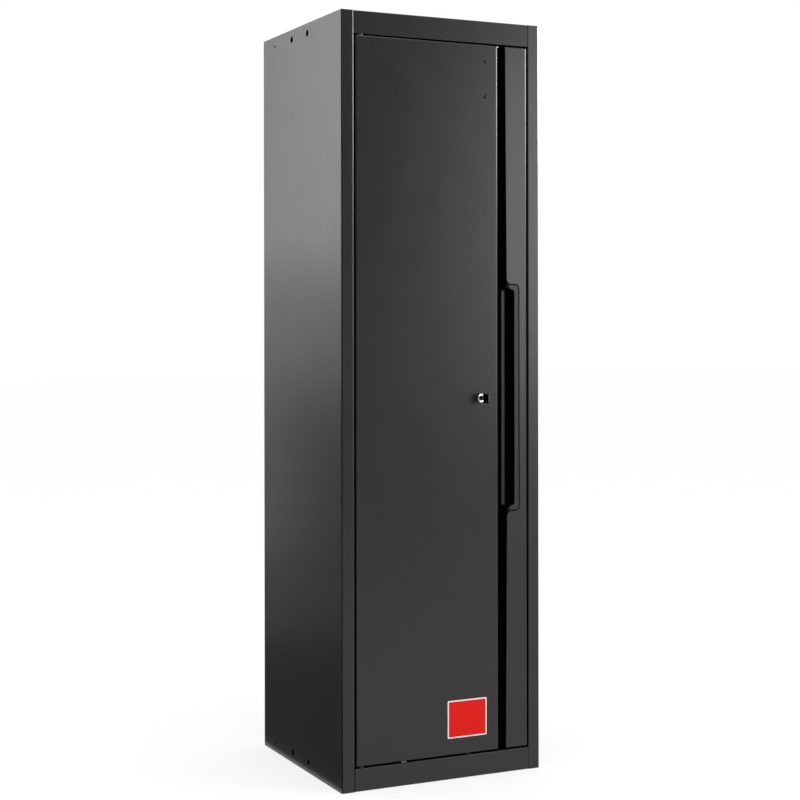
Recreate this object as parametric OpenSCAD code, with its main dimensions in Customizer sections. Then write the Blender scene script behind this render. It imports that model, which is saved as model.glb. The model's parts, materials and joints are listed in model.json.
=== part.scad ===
/* [Cabinet] */
// Overall width across the side panels
cabinet_w = 580; // [480:5:900]
// Overall depth from the door face to the back
cabinet_d = 550; // [400:5:700]
// Overall height
cabinet_h = 2000; // [1600:10:2200]
// Thickness of the carcass sheet steel
sheet = 1.2; // [0.8:0.1:1.5]
// Inside radius of every fold
bend_r = 1.2; // [0.8:0.1:1.8]
// Visible width of the front stile on the hinge side
hinge_stile_w = 36.5; // [32:0.5:50]
// Visible width of the front stile on the lock side
lock_stile_w = 32.5; // [30:0.5:50]
// Visible height of the top rail
top_rail_h = 59; // [54:1:90]
// Visible height of the bottom rail, which is also the height of the floor
bottom_rail_h = 60; // [54:1:90]
// How far the front frame is folded back into the cabinet
frame_fold = 26; // [24:1:32]
// Width of the side panels' rear folds
rear_flange = 16; // [12:1:20]
// Depth of the folds by which the top panel hangs between the side panels
top_lip = 48; // [40:1:50]
// Width of the folds that the bottom panel stands on
base_fold = 25; // [15:1:40]

/* [Joining holes] */
// Diameter of the holes that join one cabinet to the next
joint_hole_d = 18; // [12:0.5:20]
// Distance from the front to the first joining hole
joint_hole_front = 225; // [150:1:240]
// Spacing of the joining holes
joint_hole_gap = 110; // [80:0.5:120]
// Distance of the joining holes from the top and the bottom edge
joint_hole_edge = 27; // [22:0.5:28]
// Diameter of the single locating hole behind them
pilot_hole_d = 9; // [5:0.5:12]
// Distance of the locating hole from the back
pilot_from_back = 88.5; // [50:0.5:100]
// Spacing of the wall fixing holes in the back
wall_hole_gap = 400; // [200:10:420]
// Distance of the wall fixing holes from the top
wall_hole_drop = 90; // [70:1:150]
// Diameter of the wall fixing holes
wall_hole_d = 9; // [6:0.5:12]

/* [Door] */
// Seam between the rails and the stiles
rail_seam = 0.5; // [0.2:0.1:1]
// Gap between the door and the frame on all four sides
door_gap = 4; // [3.4:0.1:5]
// Thickness of the door over its folded edges
door_t = 24; // [23:0.5:27]
// Width of the folds at the back of the door's edges
door_fold = 14; // [10:1:20]
// Width of the strip on the opening side, at mid height
strip_w = 61; // [56:0.5:80]
// Width of the sunk channel beside the strip, at mid height
channel_w = 27.5; // [25:0.5:40]
// How much narrower the channel is at the ends of the door
channel_taper = 4.2; // [0:0.1:6]
// Thickness of the black lining in the channel
liner_t = 1.5; // [1:0.1:2]
// Height of the tallest stiffener on the door's inner face
stiffener_t = 14; // [8:1:18]
// Height above the floor of the middle of the label slots
label_h = 1846; // [1300:1:1900]
// Upright distance between the label slots
label_slot_gap = 97; // [50:1:100]
// Width of the label slots
label_slot_w = 2.5; // [1.5:0.1:3]
// Length of each arm of the label slots
label_slot_l = 11; // [6:0.5:16]

/* [Hinges] */
// Distance of the hinge pins from the door's edge
pin_inset = 15; // [14:0.5:18]
// Distance of the hinge pins behind the door face
pin_depth = 9; // [8.5:0.1:9.5]
// Diameter of the hinge pins
pin_d = 8; // [6:0.5:9]
// Radial clearance of a turning piece on its pin
running_fit = 0.05; // [0.03:0.01:0.08]
// Thickness of the hinge brackets
bracket_t = 3; // [2:0.5:4]
// Depth of the hinge bushes in the door
bush_l = 16; // [10:1:24]

/* [Grip] */
// Height of the cut-out that the grip fills
grip_h = 636; // [400:2:800]
// How far the cut-out reaches into the strip
grip_cut_w = 38.6; // [36:0.1:42]
// Radius of both corners at each end of the cut-out
grip_r = 14; // [12:0.5:17.5]
// Gap between the grip and the strip
grip_gap = 2.1; // [1:0.1:3]
// Width of the arm that the fingers pull on
grip_arm_w = 14.5; // [10:0.5:18]
// Thickness of the arm
grip_arm_t = 4.5; // [3:0.5:6]
// Wall thickness of the grip moulding
grip_wall = 2; // [1.5:0.1:2.5]
// Height of the bars that close the grip at its ends
grip_bar_h = 15; // [12:0.5:18]
// How much higher the finger opening is beside the channel than at the arm
grip_rise = 8; // [0:0.5:10]
// Width of the rounded rib on the left of the grip
grip_rib_w = 19.5; // [17:0.5:21]
// Radius of the rib's rounded side
grip_rib_r = 16; // [12:0.5:16]
// Depth of the rib behind the door face
grip_rib_depth = 9; // [6:0.5:12]
// Distance of the rib from the edge of the door's main face
grip_rib_inset = 14.5; // [10:0.5:15]

/* [Lock] */
// Height of the lock above the floor
lock_h = 1000; // [800:1:1200]
// Distance of the lock from the edge of the door's main face
lock_inset = 49.5; // [45:0.5:80]
// Diameter of the bright ring round the lock
ring_d = 23; // [20:0.5:28]
// How far the ring stands in front of the door
ring_t = 2; // [1:0.1:3]
// Diameter of the lock barrel behind the ring
barrel_d = 18; // [16:0.5:19]
// Diameter of the turning plug
plug_d = 12; // [10:0.5:13]
// Gear module of the lock's racks and pinions
gear_module = 1.25; // [1.1:0.05:1.35]
// Teeth of the pinion on the plug
drive_teeth = 16; // [16:1:17]
// Teeth of the reversing pinion between the rods
idler_teeth = 11; // [10:1:11]
// Thickness of the pinions and racks
gear_t = 5; // [3:0.5:6]
// Diameter of the lock rods
rod_d = 7; // [6:0.5:8]
// Distance of the rods behind the door face
rod_depth = 15; // [14.5:0.1:15.5]
// Offset of the lower rod from the lock
rod_inset = 34.7; // [28:0.1:36]
// How far the drawn back rods reach out of the door
rod_reach = 2.5; // [1:0.1:3]
// How far the key head stands in front of the door
key_reach = 43; // [40:1:50]
// Length of the key head
key_head_l = 30; // [26:1:31]
// Height of the key head
key_head_h = 24; // [18:1:30]
// Thickness of the key head
key_head_t = 5; // [3:0.5:6]

/* [Shelves] */
// Upright distance between the slots for the shelf clips
slot_pitch = 25; // [20:1:50]
// Height of the folds at the front and back of a shelf
shelf_lip = 28; // [24:1:35]
// Height of the folds at the sides of a shelf
shelf_side_lip = 15; // [10:1:20]
// Distance of the shelves behind the door face
shelf_front = 72; // [60:1:120]
// Width of the shelf uprights over their flanges
upright_w = 46; // [40:1:60]
// How far the uprights stand off the side panels
upright_t = 12; // [8:1:20]

/* [Hidden] */

// Colours
black_paint = [0.14, 0.14, 0.145];
black_plastic = [0.05, 0.05, 0.055];
bright_zinc = [0.74, 0.75, 0.76];
chrome = [0.85, 0.85, 0.86];
white_nylon = [0.88, 0.87, 0.83];
rubber = [0.08, 0.08, 0.08];

// The origin is under the middle of the whole part, with the key in its lock
front_y = (key_reach - cabinet_d) / 2;
half_w = cabinet_w / 2;
corner = sheet + bend_r;
rail_left = -half_w + hinge_stile_w;
rail_right = half_w - lock_stile_w;
back_y = cabinet_d - 2 * sheet;
wing_start = door_t + 8;
wing_end = min(back_y, cabinet_d - corner);
top_edge = cabinet_h - top_rail_h;
small = 0.3;
seat_fit = 0.02;

// Door stop behind the stile on the lock side, and the rubber buffers on it
buffer_t = 3;
buffer_r = 5;
buffer_gap = 0.2;
buffer_inset = 120;
stop_lip_w = 16;
stop_start = 8;
stop_y = door_t + buffer_t;
lock_fold = min(frame_fold, stop_y - bend_r - small);

// Door outline
door_left = rail_left + door_gap;
door_right = rail_right - door_gap;
door_bottom = bottom_rail_h + door_gap;
door_top = top_edge - door_gap;
door_h = door_top - door_bottom;
strip_bottom = door_bottom + corner;
strip_top = door_top - corner;
strip_left = door_right - strip_w;
face_right = strip_left - channel_w;
channel_y = door_t - 2 * sheet;
mid_h = (door_bottom + door_top) / 2;
taper_end_x = strip_left - channel_taper;
label_inset = 35;

// Pad on the bottom rail, and the gap between it and the door
rest_pad_inset = 130;
rest_pad_w = 13.5;
rest_pad_gap = 0.3;

// Grip
cut_right = strip_left + grip_cut_w;
arm_right = cut_right - grip_gap;
arm_left = arm_right - grip_arm_w;
cut_half = grip_h / 2;
arm_half = cut_half - grip_r - grip_gap;
void_half = arm_half - grip_bar_h;
void_r = 6;
grip_floor = channel_y - grip_wall;
rib_left = face_right + grip_rib_inset;
moulding_left = face_right + sheet + small;
grip_screw_x = (arm_left + rib_left + grip_rib_w) / 2;
grip_screw_half = void_half - 40;

// Hinge
pin_x = door_left + pin_inset;
bush_r = pin_d / 2 + 2.2;
bush_flange_r = bush_r + 2.4;
pin_head_t = 2.5;
bracket_l = 26;

// Lock
lock_x = face_right - lock_inset;
rack_pitch = PI * gear_module;
drive_r = gear_module * drive_teeth / 2;
idler_r = gear_module * idler_teeth / 2;
rod_x_low = lock_x - rod_inset;
idler_x = rod_x_low - idler_r;
rod_x_up = idler_x - idler_r;
rack_line = lock_x - drive_r;
drive_shift = drive_teeth % 2 * rack_pitch / 2;
idler_shift = idler_teeth % 2 * rack_pitch / 2;
tooth_top = 0.8 * gear_module;
tooth_root = 1.1 * gear_module;
pressure_angle = 25;
backlash = 0.16;
rod_travel = drive_r * PI / 2;
gear_y0 = rod_depth - gear_t / 2;
gear_y1 = rod_depth + gear_t / 2;
rod_hole_r = rod_d / 2 + 0.4;
keeper_r = rod_d / 2 + 2;
keeper_wall = 1.3;
keeper_collar = 2;
rod_chamfer = 1.2;
rack_back_w = 7;
foot_h = 8;
foot_side = rod_d / 2 + 0.6;
foot_gap = ceil(idler_r + gear_module + 7);
case_half = foot_gap + foot_h + rod_travel + 8;
case_left = rod_x_up - tooth_root - rack_back_w - 4;
case_right = lock_x + drive_r + tooth_top + 6;
case_wall = 1.5;
case_end = door_t - 1.5;
nut_t = 4;
boss_r = 4.5;
boss_out = boss_r - case_wall;
tapping_r = 1.6;
small_screw_r = 1.55;
plug_end = gear_y0 - 0.5;
barrel_end = plug_end - 1;
shaft_r = 3.5;
idler_pin_r = 2.5;
key_ring_hole_r = 2.5;
key_ring_place = 7 - key_reach;
key_blade_start = key_ring_place + 6;
key_corner_r = 6;
key_slot_h = 7;
key_slot_t = 2.2;
key_fit = 0.1;
case_screw_places = [for (x = [case_left - boss_out, case_right + boss_out], s = [-1, 1])
    [x, lock_h + s * (case_half - 12)]];
guide_h = 16;
guide_w = 22;
guide_t = door_t - 4;
guide_screw_r = 1.15;
guide_screw_x = guide_w / 2 - 3;
guide_h_up = (lock_h + case_half + door_top) / 2;
guide_h_low = (lock_h - case_half + door_bottom) / 2;

// Stiffener halfway between the hinge and the rods
stiffener_w = 62;
stiffener_flange = 14;
stiffener_x = (pin_x + rod_x_up) / 2;
stiffener_short = 40;

// Corner plates in the door
plate_t = 2.5;
plate_l = 70;
plate_h = 60;

// Shelves
shelf_n = 4;
upright_low = bottom_rail_h;
upright_high = cabinet_h - top_lip - 4;
web_x = half_w - sheet - upright_t - sheet;
upright_web = 30;
shelf_side_gap = 2;
shelf_half = web_x - shelf_side_gap;
shelf_back = back_y - 14;
shelf_return = 12;
upright_front_y = shelf_front + 20;
upright_rear_y = shelf_back - 20 - upright_w;
slot_w = 14;
slot_h = 5;
first_slot = upright_low + 60;
slot_n = floor((upright_high - 40 - first_slot) / slot_pitch);
clip_t = 1.4;
clip_w = 18;
clip_ledge = 15;

// Height of the slot that carries shelf i, the nearest to an even division of the inside
function shelf_slot(i) = first_slot
    + slot_pitch * round(((i * (top_edge - bottom_rail_h) / (shelf_n + 1)) + bottom_rail_h
                          - first_slot) / slot_pitch);
// Top of shelf i, whose side folds rest on clips hung in that slot
function shelf_top(i) = shelf_slot(i) + shelf_side_lip;

// Everything is drawn with its depth measured back from the door face
module placed() translate([0, front_y, 0]) children();

// Round bar along the depth, between two depths
module bar_y(r, y0, y1) translate([0, y1, 0]) rotate([90, 0, 0]) cylinder(r = r, h = y1 - y0, $fn = 48);

// Square-cornered box between two corners
module block(a, b) translate(a) cube(b - a);

// Flat shape in width and height, given a thickness between two depths
module plate_y(y0, y1) translate([0, y1, 0]) rotate([90, 0, 0]) linear_extrude(y1 - y0) children();

// Flat shape in depth and height, stretched between two widths
module profile_x(x0, x1) translate([x0, 0, 0]) rotate([90, 0, 90]) linear_extrude(x1 - x0) children();

// Set-back of a fold's tangent point from the sharp corner of the right-hand face
function setback(turn, t) = turn > 0 ? bend_r + t : bend_r;

// Folded sheet seen end on. It starts at the origin along +X with its thickness on the left.
// Each wall is measured along the right-hand face, and each turn is 1 for left and -1 for right.
module fold(walls, turns = [], t = sheet, i = 0) {
    turn = len(turns) > i ? turns[i] : 1;
    before = i == 0 ? 0 : setback(len(turns) > i - 1 ? turns[i - 1] : 1, t);
    last = i == len(walls) - 1;
    flat = walls[i] - before - (last ? 0 : setback(turn, t));
    square([flat, t]);
    if (!last) {
        ro = bend_r + t;
        centre = turn > 0 ? ro : -bend_r;
        translate([flat, centre]) intersection() {
            difference() {
                circle(ro, $fn = 48);
                circle(bend_r, $fn = 48);
            }
            translate([0, turn > 0 ? -ro : 0]) square(ro);
        }
        translate([flat + abs(centre), centre]) rotate(90 * turn) fold(walls, turns, t, i + 1);
    }
}

// Holes that join cabinets side by side, at the top and the bottom edge of one side
module joining_holes(x, t) {
    for (z = [joint_hole_edge, cabinet_h - joint_hole_edge]) {
        for (y = [joint_hole_front, joint_hole_front + joint_hole_gap])
            translate([x, y, z]) rotate([0, 90, 0]) cylinder(d = joint_hole_d, h = t, $fn = 48);
        translate([x, cabinet_d - pilot_from_back, z]) rotate([0, 90, 0])
            cylinder(d = pilot_hole_d, h = t, $fn = 48);
    }
}

// Left-hand side panel, folded from one sheet, with a stile in front
module side_panel(stile_w, stile_fold) {
    difference() {
        translate([-half_w + rear_flange, cabinet_d, 0]) rotate(180)
            linear_extrude(cabinet_h) fold([rear_flange, cabinet_d, stile_w, stile_fold]);
        // the top panel lies over the folded edge of the stile
        block([-half_w + corner, corner, cabinet_h - sheet],
              [-half_w + stile_w + 1, wing_start, cabinet_h + 1]);
        joining_holes(-half_w - 1, sheet + 2);
    }
}

module left_side_panel() placed() color(black_paint) side_panel(hinge_stile_w, frame_fold);

module right_side_panel() placed() color(black_paint)
    mirror([1, 0, 0]) side_panel(lock_stile_w, lock_fold);

// Angle welded behind the stile on the lock side, which ends short of the top and bottom panels
module door_stop_strip() placed() color(black_paint)
    translate([rail_right + 2 * sheet, stop_start, bottom_rail_h + small]) rotate(90)
        linear_extrude(top_edge - bottom_rail_h - 2 * small)
            fold([stop_y + sheet - stop_start, stop_lip_w + 2 * sheet]);

// Hole in a rail for the end of a lock rod
module keeper_hole(x, z) translate([x, rod_depth, z])
    cylinder(r = keeper_r, h = 8, center = true, $fn = 48);

// Hole in a rail for a hinge pin
module pin_hole(z) translate([pin_x, pin_depth, z])
    cylinder(r = pin_d / 2 + seat_fit, h = 12, center = true, $fn = 48);

// Top of the cabinet with the top rail of the frame
module top_panel() placed() color(black_paint) difference() {
    union() {
        profile_x(rail_left + rail_seam, rail_right - rail_seam)
            translate([back_y, cabinet_h - base_fold]) rotate(90)
                fold([base_fold, back_y, top_rail_h, frame_fold]);
        plate_y(wing_start, wing_end) translate([half_w - sheet, cabinet_h - top_lip]) rotate(90)
            fold([top_lip, cabinet_w - 2 * sheet, top_lip]);
        block([-half_w + sheet, corner, cabinet_h - sheet], [half_w - sheet, wing_start + 1, cabinet_h]);
    }
    joining_holes(-half_w, 6);
    joining_holes(half_w - 6, 6);
    keeper_hole(rod_x_up, top_edge);
    pin_hole(top_edge);
}

// Floor of the cabinet with the bottom rail of the frame and the folds that it stands on
module bottom_panel() placed() color(black_paint) difference() {
    union() {
        profile_x(rail_left + rail_seam, rail_right - rail_seam)
            translate([back_y - base_fold, 0])
                fold([base_fold, bottom_rail_h, back_y, bottom_rail_h, base_fold]);
        plate_y(wing_start, wing_end) translate([half_w - sheet, 0]) rotate(90)
            fold([bottom_rail_h, cabinet_w - 2 * sheet, bottom_rail_h]);
    }
    joining_holes(-half_w, 6);
    joining_holes(half_w - 6, 6);
    keeper_hole(rod_x_low, bottom_rail_h);
    pin_hole(bottom_rail_h);
}

// Back with two holes for fixing the cabinet to a wall
module back_panel() placed() color(black_paint) difference() {
    block([-half_w + corner, back_y, 0], [half_w - corner, back_y + sheet, cabinet_h]);
    for (s = [-1, 1]) translate([s * wall_hole_gap / 2, 0, cabinet_h - wall_hole_drop])
        bar_y(wall_hole_d / 2, back_y - 1, back_y + sheet + 1);
}

// Slotted upright on the left side panel, with its front edge at depth y
module upright(y) {
    flange = (upright_w - upright_web) / 2;
    difference() {
        translate([-half_w + sheet, y + upright_w, upright_low]) rotate(-90)
            linear_extrude(upright_high - upright_low)
                fold([flange, upright_t, upright_web, upright_t, flange], [1, -1, -1, 1]);
        for (i = [0 : slot_n])
            translate([-web_x - 2, y + (upright_w - slot_w) / 2, first_slot + i * slot_pitch])
                cube([sheet + 4, slot_w, slot_h]);
    }
}

module upright_front_left() placed() color(black_paint) upright(upright_front_y);
module upright_rear_left() placed() color(black_paint) upright(upright_rear_y);
module upright_front_right() placed() color(black_paint) mirror([1, 0, 0]) upright(upright_front_y);
module upright_rear_right() placed() color(black_paint) mirror([1, 0, 0]) upright(upright_rear_y);

// Folded shelf with its top at height z
module shelf(z) placed() color(black_paint) union() {
    depth = shelf_back - shelf_front;
    profile_x(-shelf_half + corner, shelf_half - corner)
        translate([shelf_back - shelf_return, z - shelf_lip])
            fold([shelf_return, shelf_lip, depth, shelf_lip, shelf_return]);
    plate_y(shelf_front + corner, shelf_back - corner)
        translate([shelf_half, z - shelf_side_lip]) rotate(90)
            fold([shelf_side_lip, 2 * shelf_half, shelf_side_lip]);
}

module shelf_1() shelf(shelf_top(1));
module shelf_2() shelf(shelf_top(2));
module shelf_3() shelf(shelf_top(3));
module shelf_4() shelf(shelf_top(4));

// Bent steel clip that hooks into an upright's slot, at the left side and height z
module shelf_clip(y, z) {
    x = -web_x;
    y0 = y + (upright_w - clip_w) / 2;
    block([x, y0, z - clip_t], [x + clip_ledge, y0 + clip_w, z]);
    block([x, y0, z - 14], [x + clip_t, y0 + clip_w, z + 10]);
    block([x - 4, y0 + 3, z + 0.5], [x + 0.5, y0 + clip_w - 3, z + slot_h - 0.5]);
}

module shelf_clips() placed() color(bright_zinc)
    for (i = [1 : shelf_n], y = [upright_front_y, upright_rear_y], s = [0, 1])
        mirror([s, 0, 0]) shelf_clip(y, shelf_slot(i));

// Steel plate inside a rail that holds a hinge pin, between two heights
module hinge_bracket(z) placed() color(bright_zinc) difference() {
    block([rail_left + corner, corner, z], [pin_x + bracket_l, frame_fold - 1, z + bracket_t]);
    pin_hole(z);
}

module upper_hinge_bracket() hinge_bracket(top_edge + sheet);
module lower_hinge_bracket() hinge_bracket(bottom_rail_h - sheet - bracket_t);

// Headed steel pin that points from the frame into the door
module hinge_pin() {
    shank = bracket_t + sheet + door_gap + bush_l;
    translate([0, 0, -pin_head_t]) cylinder(r = pin_d / 2 + 2.5, h = pin_head_t, $fn = 48);
    cylinder(d = pin_d, h = shank - 1, $fn = 48);
    translate([0, 0, shank - 1]) cylinder(d1 = pin_d, d2 = pin_d - 2, h = 1, $fn = 48);
}

module upper_hinge_pin() placed() color(bright_zinc)
    translate([pin_x, pin_depth, top_edge + sheet + bracket_t]) mirror([0, 0, 1]) hinge_pin();
module lower_hinge_pin() placed() color(bright_zinc)
    translate([pin_x, pin_depth, bottom_rail_h - sheet - bracket_t]) hinge_pin();

// Nylon eyelet in a rail that guides the end of a lock rod, with its collar inside the rail
module rod_keeper() difference() {
    union() {
        cylinder(r = keeper_r, h = sheet + keeper_collar, $fn = 48);
        translate([0, 0, sheet]) cylinder(r = keeper_r + 2.5, h = keeper_collar, $fn = 48);
    }
    translate([0, 0, -1]) cylinder(r = keeper_r - keeper_wall, h = sheet + keeper_collar + 2, $fn = 48);
}

module upper_rod_keeper() placed() color(white_nylon)
    translate([rod_x_up, rod_depth, top_edge]) rod_keeper();
module lower_rod_keeper() placed() color(white_nylon)
    translate([rod_x_low, rod_depth, bottom_rail_h]) mirror([0, 0, 1]) rod_keeper();

// Rubber buttons on the stop lip that the shut door meets
module stop_buffers() placed() color(rubber)
    for (z = [door_bottom + buffer_inset, mid_h, door_top - buffer_inset])
        translate([rail_right - stop_lip_w / 2 - 1, door_t + buffer_gap, z]) rotate([-90, 0, 0]) {
            h = buffer_t - buffer_gap;
            rotate_extrude($fn = 48)
                polygon([[0, 0], [buffer_r - 1, 0], [buffer_r, 1], [buffer_r, h], [0, h]]);
        }

// Nylon ramp on the bottom rail that takes the weight of the shut door
module door_rest_pad() placed() color(white_nylon)
    profile_x(door_left + rest_pad_inset, door_left + rest_pad_inset + rest_pad_w)
        translate([0, bottom_rail_h]) {
            h = door_gap - rest_pad_gap;
            polygon([[3, 0], [3, h / 2], [7, h], [20, h], [20, 0]]);
        }

// Cut-out for the grip, grown by d on every side. At each end a quarter circle leads in from
// the strip's left edge, and another one leads on to the right-hand side.
module cut_out(d, left) translate([0, lock_h]) {
    h = cut_half - grip_r + d;
    straight = cut_half - 2 * grip_r;
    translate([left, -h]) square([cut_right - grip_r - left, 2 * h]);
    translate([left, -straight]) square([cut_right + d - left, 2 * straight]);
    for (m = [0, 1]) mirror([0, m]) {
        translate([cut_right - grip_r, straight]) circle(grip_r + d, $fn = 96);
        difference() {
            translate([left, h - 1]) square([strip_left + grip_r - left, cut_half - h + 1]);
            translate([strip_left + grip_r, cut_half]) circle(grip_r - d, $fn = 96);
        }
    }
}

// Strip with its tapered left edge and the cut-out, the whole edge moved right by d
module strip_shape(d, spare) difference() {
    right = door_right - corner + spare;
    polygon([[taper_end_x + d, strip_bottom - spare], [strip_left + d, lock_h - cut_half],
             [strip_left + d, lock_h + cut_half], [taper_end_x + d, strip_top + spare],
             [right, strip_top + spare], [right, strip_bottom - spare]]);
    cut_out(d, strip_left - 10);
}

// Slots for a label holder, as two corners on the right
module label_slots() {
    half = label_slot_w / 2;
    plate_y(-1, sheet + 1) translate([face_right - label_inset, label_h])
        for (m = [0, 1]) mirror([0, m]) translate([0, label_slot_gap / 2]) {
            translate([-label_slot_l, -half]) square([label_slot_l, label_slot_w]);
            translate([-label_slot_w, half - label_slot_l]) square([label_slot_w, label_slot_l]);
        }
}

// Hole for a rod in a wall at height z
module rod_hole(x, z) translate([x, rod_depth, z])
    cylinder(r = rod_hole_r, h = 8, center = true, $fn = 48);

// Folded end of the door at its head, between two widths
module door_end(x0, x1) profile_x(x0, x1)
    translate([door_t, door_top]) rotate(180) fold([door_t, 2 * corner]);

// Folded door with its sunk channel and the cut-out for the grip
module door_panel() placed() color(black_paint) difference() {
    union() {
        translate([0, 0, strip_bottom]) linear_extrude(strip_top - strip_bottom) {
            // left fold, main face and channel wall
            translate([door_left + door_fold, door_t]) rotate(180)
                fold([door_fold, door_t, face_right - door_left, channel_y]);
            // channel floor, which runs on behind the strip
            translate([face_right - corner, channel_y]) square([door_right - face_right, sheet]);
            // right-hand edge and its fold
            translate([door_right - 2 * corner, 0]) fold([2 * corner, door_t, door_fold]);
        }
        plate_y(0, sheet) strip_shape(0, 0);
        plate_y(0, channel_y) difference() {
            strip_shape(0, 0);
            strip_shape(sheet, 1);
        }
        for (m = [0, 1]) translate([0, 0, m * (door_bottom + door_top)]) mirror([0, 0, m]) {
            door_end(door_left + corner, face_right - corner);
            door_end(taper_end_x, door_right - corner);
        }
    }
    label_slots();
    translate([lock_x, 0, lock_h]) bar_y(barrel_d / 2 + 0.2, -1, sheet + 1);
    for (s = [-1, 1]) translate([grip_screw_x, 0, lock_h + s * grip_screw_half])
        bar_y(2.1, channel_y - 1, channel_y + sheet + 1);
    rod_hole(rod_x_up, door_top);
    rod_hole(rod_x_low, door_bottom);
    for (z = [door_bottom, door_top]) translate([pin_x, pin_depth, z])
        cylinder(r = bush_r, h = 8, center = true, $fn = 48);
}

// Top hat stiffener down the main face
module door_stiffener() placed() color(black_paint)
    translate([stiffener_x + stiffener_w / 2, sheet, door_bottom + stiffener_short]) mirror([1, 0, 0])
        linear_extrude(door_h - 2 * stiffener_short)
            fold([stiffener_flange, stiffener_t, stiffener_w - 2 * stiffener_flange, stiffener_t,
                  stiffener_flange], [1, -1, -1, 1]);

// Bracket that backs the door's corner round a hinge bush, under the folded end at height z
module corner_plate() difference() {
    x = door_left + sheet;
    union() {
        block([x, corner, -plate_t], [x + plate_l, door_t - corner, 0]);
        block([x, corner, -plate_h], [x + plate_t, door_t - corner, 0]);
    }
    translate([pin_x, pin_depth, 0]) cylinder(r = bush_r, h = 10, center = true, $fn = 48);
}

module upper_corner_plate() placed() color(bright_zinc)
    translate([0, 0, door_top - sheet]) corner_plate();
module lower_corner_plate() placed() color(bright_zinc)
    translate([0, 0, door_bottom + sheet]) mirror([0, 0, 1]) corner_plate();

// Flanged nylon bush in the end of the door, with its flange in the gap
module hinge_bush() difference() {
    union() {
        cylinder(r = bush_flange_r, h = door_gap - 0.2, $fn = 48);
        translate([0, 0, -bush_l]) cylinder(r = bush_r - seat_fit, h = bush_l + 1, $fn = 48);
    }
    translate([0, 0, -bush_l - 1])
        cylinder(r = pin_d / 2 + running_fit, h = bush_l + door_gap + 2, $fn = 48);
}

module upper_hinge_bush() placed() color(black_plastic)
    translate([pin_x, pin_depth, door_top]) hinge_bush();
module lower_hinge_bush() placed() color(black_plastic)
    translate([pin_x, pin_depth, door_bottom]) mirror([0, 0, 1]) hinge_bush();

// Black lining of the channel between the grip and one end of the door. The strip ends at
// height tip, where its taper stops.
module channel_liner(z0, tip, z1) {
    from = z0 > lock_h ? lock_h + cut_half : lock_h - cut_half;
    left = face_right + seat_fit;
    x0 = strip_left - channel_taper * (z0 - from) / (tip - from) - seat_fit;
    x1 = taper_end_x - seat_fit;
    inner = [-liner_t, 0];
    edge = [[x0, z0], [x1, tip], [x1, z1]];
    plate_y(channel_y - liner_t, channel_y) polygon(concat(edge, [[left, z1], [left, z0]]));
    plate_y(bend_r + 2, channel_y) {
        translate([left, min(z0, z1)]) square([liner_t, abs(z1 - z0)]);
        polygon(concat(edge, [edge[2] + inner, edge[1] + inner, edge[0] + inner]));
    }
}

module upper_channel_liner() placed() color(black_plastic)
    channel_liner(lock_h + cut_half + small, strip_top, door_top);
module lower_channel_liner() placed() color(black_plastic)
    channel_liner(lock_h - cut_half - small, strip_bottom, door_bottom);

// Outline of the grip moulding, one gap inside the channel and the cut-out
module grip_outline() {
    cut_out(-grip_gap, moulding_left);
    translate([moulding_left, lock_h - cut_half])
        square([strip_left - grip_gap - moulding_left, 2 * cut_half]);
}

// Finger opening of the grip between two widths
module grip_void(x0, x1) translate([0, lock_h]) {
    h = void_half - void_r;
    translate([x0 + void_r, -void_half]) square([x1 - x0 - 2 * void_r, 2 * void_half]);
    translate([x0, -h]) square([x1 - x0, 2 * h]);
    for (x = [x0 + void_r, x1 - void_r], z = [-h, h]) translate([x, z]) circle(void_r, $fn = 48);
}

// Moulded grip with an arm to pull on, hollow behind the arm
module grip_moulding() placed() color(black_plastic) difference() {
    union() {
        difference() {
            plate_y(0, channel_y) grip_outline();
            // finger space, reaching behind the arm
            plate_y(-1, grip_floor) {
                grip_void(moulding_left + grip_wall, arm_left);
                for (m = [0, 1]) translate([0, lock_h]) mirror([0, m])
                    polygon([[strip_left - 1, void_half - 1], [strip_left - 1, void_half + grip_rise],
                             [arm_left - void_r, void_half], [arm_left - void_r, void_half - 1]]);
            }
            plate_y(grip_arm_t, grip_floor) grip_void(arm_left - 2 * void_r, arm_right - grip_wall);
            // the ends beside the channel are sunk
            plate_y(-1, grip_floor) translate([moulding_left - 1, lock_h])
                for (m = [0, 1]) mirror([0, m]) translate([0, void_half - 1])
                    square([strip_left - moulding_left + 1, cut_half - void_half + 2]);
        }
        // rounded rib on the left
        translate([0, 0, lock_h - void_half - 0.5]) linear_extrude(2 * void_half + 1) {
            drop = grip_floor - grip_rib_depth;
            arc = sqrt(grip_rib_r * grip_rib_r - pow(grip_rib_r - drop, 2));
            turn_x = rib_left + grip_rib_w - arc;
            translate([rib_left, grip_rib_depth]) square([grip_rib_w - arc, drop + 0.5]);
            intersection() {
                translate([turn_x, grip_rib_depth + grip_rib_r]) circle(grip_rib_r, $fn = 96);
                translate([turn_x, grip_rib_depth]) square([grip_rib_r, drop + 0.5]);
            }
        }
    }
    for (s = [-1, 1]) translate([grip_screw_x, 0, lock_h + s * grip_screw_half])
        bar_y(tapping_r, grip_floor + 0.5, channel_y + 1);
}

// Pan head screw along the depth, its head behind and its point towards the front
module screw_y(r, l, head_r, head_t) {
    bar_y(r, -l, 0);
    bar_y(head_r, 0, head_t);
}

module grip_screws() placed() color(bright_zinc)
    for (s = [-1, 1]) translate([grip_screw_x, channel_y + sheet, lock_h + s * grip_screw_half])
        screw_y(small_screw_r, sheet + 1.4, 3.6, 2);

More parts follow.
